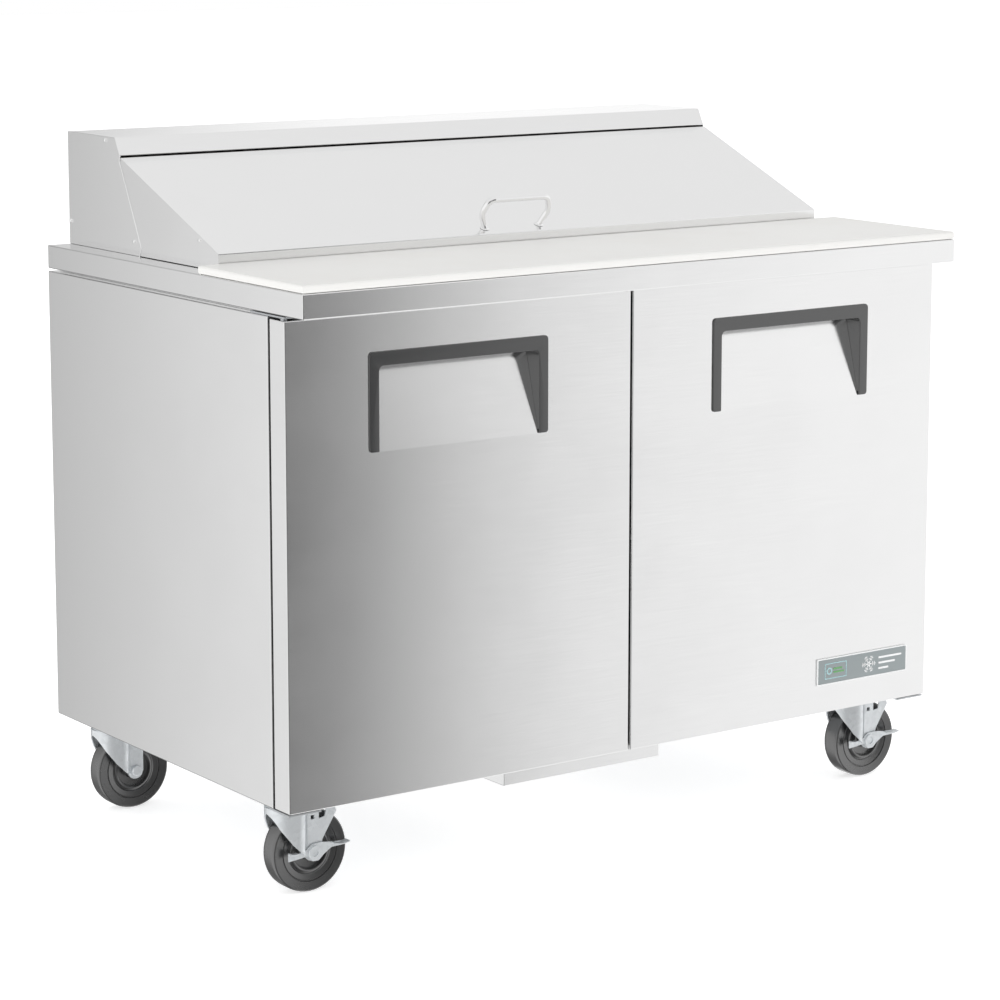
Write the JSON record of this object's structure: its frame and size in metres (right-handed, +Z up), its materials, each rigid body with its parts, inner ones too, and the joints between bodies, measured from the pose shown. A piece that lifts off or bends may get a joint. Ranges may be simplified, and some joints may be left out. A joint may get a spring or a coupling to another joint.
{
  "type": "sandwich prep table",
  "caption": "Low refrigerated stainless prep counter with swing doors, a sloped hinged lid over food pans, a full-width cutting board and swivel casters.",
  "frame": {"origin": "on the floor under the centre of the cabinet", "axes": "+X to the right of a person who faces the doors, +Y to the back, +Z up"},
  "size_m": [1.246, 0.766, 1.092],
  "materials": {
    "stainless": "satin",
    "galvanised": "satin",
    "zinc": "satin",
    "aluminium": "satin",
    "white_board": "matte",
    "white_plastic": "satin",
    "charcoal_plastic": "matte",
    "gasket": "matte",
    "wheel_rubber": "matte",
    "clear_plastic": "gloss",
    "black_paint": "satin",
    "black_plastic": "satin",
    "coated_wire": "satin",
    "badge_plate": "satin"
  },
  "bodies": {
    "cabinet": {"countertop": "stainless", "side_wall_left": "stainless", "side_wall_right": "stainless", "cabinet_floor": "galvanised", "rear_wall": "galvanised", "inner_liner": "aluminium", "front_frame": "stainless", "air_duct": "stainless", "machine_deck": "galvanised", "compressor": "black_paint", "condenser_coil": "aluminium", "evaporator_housing": "aluminium", "rear_grille": "galvanised", "power_inlet": "black_plastic", "hood": "stainless", "pan_frame": "stainless", "door_left_top_hinge": "galvanised", "door_left_bottom_hinge": "galvanised", "door_right_top_hinge": "galvanised", "door_right_bottom_hinge": "galvanised", "food_pan_1": "clear_plastic", "food_pan_2": "clear_plastic", "food_pan_3": "clear_plastic", "food_pan_4": "clear_plastic", "food_pan_5": "clear_plastic", "food_pan_6": "clear_plastic", "shelf_left_lower": "coated_wire", "shelf_left_upper": "coated_wire", "shelf_right_lower": "coated_wire", "shelf_right_upper": "coated_wire", "caster_front_left_mount": "zinc", "caster_rear_left_mount": "zinc", "caster_front_right_mount": "zinc", "caster_rear_right_mount": "zinc"},
    "left_door": {"door_left": "stainless", "door_left_handle_trim": "charcoal_plastic", "door_left_liner": "white_plastic", "door_left_gasket": "gasket"},
    "right_door": {"door_right": "stainless", "door_right_handle_trim": "charcoal_plastic", "door_right_liner": "white_plastic", "door_right_gasket": "gasket", "badge": "badge_plate"},
    "lid": {"lid_cover": "stainless", "lid_liner": "white_plastic", "lid_hinge_rod": "stainless", "lid_handle": "stainless"},
    "board": {"cutting_board": "white_board"},
    "condenser_fan_rotor": {"condenser_fan": "black_plastic"},
    "evaporator_fan_rotor": {"evaporator_fan": "black_plastic"},
    "front_left_caster": {"caster_front_left_fork": "zinc"},
    "front_left_wheel": {"caster_front_left_wheel": "wheel_rubber"},
    "front_left_brake": {"caster_front_left_brake_lever": "zinc"},
    "rear_left_caster": {"caster_rear_left_fork": "zinc"},
    "rear_left_wheel": {"caster_rear_left_wheel": "wheel_rubber"},
    "front_right_caster": {"caster_front_right_fork": "zinc"},
    "front_right_wheel": {"caster_front_right_wheel": "wheel_rubber"},
    "front_right_brake": {"caster_front_right_brake_lever": "zinc"},
    "rear_right_caster": {"caster_rear_right_fork": "zinc"},
    "rear_right_wheel": {"caster_rear_right_wheel": "wheel_rubber"}
  },
  "joints": [
    {"name": "left_door_swing", "type": "hinge", "parent": "cabinet", "child": "left_door", "pos_m": [-0.6025, -0.312, 0.5], "axis": [0, 0, -1], "range_deg": [0, 110]},
    {"name": "right_door_swing", "type": "hinge", "parent": "cabinet", "child": "right_door", "pos_m": [0.6025, -0.312, 0.5], "axis": [0, 0, 1], "range_deg": [0, 110]},
    {"name": "lid_swing", "type": "hinge", "parent": "cabinet", "child": "lid", "pos_m": [0, 0.20877, 1.05688], "axis": [-1, 0, 0], "range_deg": [0, 108]},
    {"name": "board_lift", "type": "slide", "parent": "cabinet", "child": "board", "axis": [0, 0, 1], "range_m": [0, 0.05]},
    {"name": "condenser_fan_spin", "type": "hinge", "parent": "cabinet", "child": "condenser_fan_rotor", "pos_m": [-0.325, 0.278, 0.28], "axis": [1, 0, 0], "continuous": true},
    {"name": "evaporator_fan_spin", "type": "hinge", "parent": "cabinet", "child": "evaporator_fan_rotor", "pos_m": [0, 0.178, 0.6], "axis": [0, 1, 0], "continuous": true},
    {"name": "front_left_swivel", "type": "hinge", "parent": "cabinet", "child": "front_left_caster", "pos_m": [-0.546, -0.226, 0.1], "axis": [0, 0, 1], "continuous": true},
    {"name": "front_left_roll", "type": "hinge", "parent": "front_left_caster", "child": "front_left_wheel", "pos_m": [-0.524, -0.226, 0.0635], "axis": [0, 1, 0], "continuous": true},
    {"name": "front_left_brake_press", "type": "hinge", "parent": "front_left_caster", "child": "front_left_brake", "pos_m": [-0.524, -0.226, 0.0635], "axis": [0, 1, 0], "range_deg": [0, 18]},
    {"name": "rear_left_swivel", "type": "hinge", "parent": "cabinet", "child": "rear_left_caster", "pos_m": [-0.546, 0.314, 0.1], "axis": [0, 0, 1], "continuous": true},
    {"name": "rear_left_roll", "type": "hinge", "parent": "rear_left_caster", "child": "rear_left_wheel", "pos_m": [-0.524, 0.314, 0.0635], "axis": [0, 1, 0], "continuous": true},
    {"name": "front_right_swivel", "type": "hinge", "parent": "cabinet", "child": "front_right_caster", "pos_m": [0.546, -0.226, 0.1], "axis": [0, 0, 1], "continuous": true},
    {"name": "front_right_roll", "type": "hinge", "parent": "front_right_caster", "child": "front_right_wheel", "pos_m": [0.568, -0.226, 0.0635], "axis": [0, 1, 0], "continuous": true},
    {"name": "front_right_brake_press", "type": "hinge", "parent": "front_right_caster", "child": "front_right_brake", "pos_m": [0.568, -0.226, 0.0635], "axis": [0, 1, 0], "range_deg": [0, 18]},
    {"name": "rear_right_swivel", "type": "hinge", "parent": "cabinet", "child": "rear_right_caster", "pos_m": [0.546, 0.314, 0.1], "axis": [0, 0, 1], "continuous": true},
    {"name": "rear_right_roll", "type": "hinge", "parent": "rear_right_caster", "child": "rear_right_wheel", "pos_m": [0.568, 0.314, 0.0635], "axis": [0, 1, 0], "continuous": true}
  ]
}
